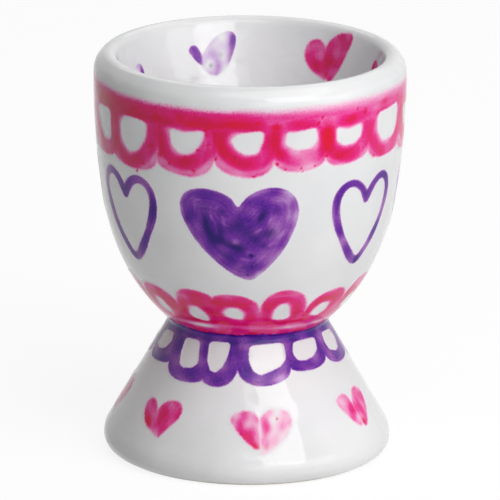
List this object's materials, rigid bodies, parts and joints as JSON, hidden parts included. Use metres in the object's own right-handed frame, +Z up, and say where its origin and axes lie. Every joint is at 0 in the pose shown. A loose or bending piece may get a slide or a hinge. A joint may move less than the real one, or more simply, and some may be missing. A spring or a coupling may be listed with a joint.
{
  "type": "egg cup",
  "caption": "Glazed ceramic egg cup: a deep round bowl on a flared hollow foot, with hand-painted pink and purple scalloped borders and hearts.",
  "frame": {"origin": "centre of the resting face, on the cup's axis", "axes": "+Z up along the cup's axis; the painted front faces -Y; +X to the right of the front"},
  "size_m": [0.0482, 0.0482, 0.0633],
  "materials": {
    "clay": "unglazed fired clay body",
    "glaze": "glossy white glaze",
    "pink_enamel": "glossy pink overglaze enamel",
    "purple_enamel": "glossy purple overglaze enamel"
  },
  "bodies": {
    "root": {"bowl": "clay", "foot": "clay", "luting_slip": "clay", "bowl_glaze": "glaze", "foot_glaze": "glaze", "hollow_glaze": "glaze", "rim_border": "pink_enamel", "waist_border": "pink_enamel", "collar_border": "purple_enamel", "bowl_heart_1": "purple_enamel", "bowl_heart_2": "purple_enamel", "bowl_heart_3": "purple_enamel", "bowl_heart_4": "purple_enamel", "bowl_heart_5": "purple_enamel", "bowl_heart_6": "purple_enamel", "bowl_heart_7": "purple_enamel", "foot_heart_1": "pink_enamel", "foot_heart_2": "pink_enamel", "foot_heart_3": "pink_enamel", "foot_heart_4": "pink_enamel", "foot_heart_5": "pink_enamel", "foot_heart_6": "pink_enamel", "foot_heart_7": "pink_enamel", "inner_heart_1": "pink_enamel", "inner_heart_2": "pink_enamel", "inner_heart_3": "purple_enamel", "inner_heart_4": "purple_enamel", "inner_heart_5": "pink_enamel", "inner_heart_6": "purple_enamel", "inner_heart_7": "pink_enamel"}
  },
  "joints": []
}
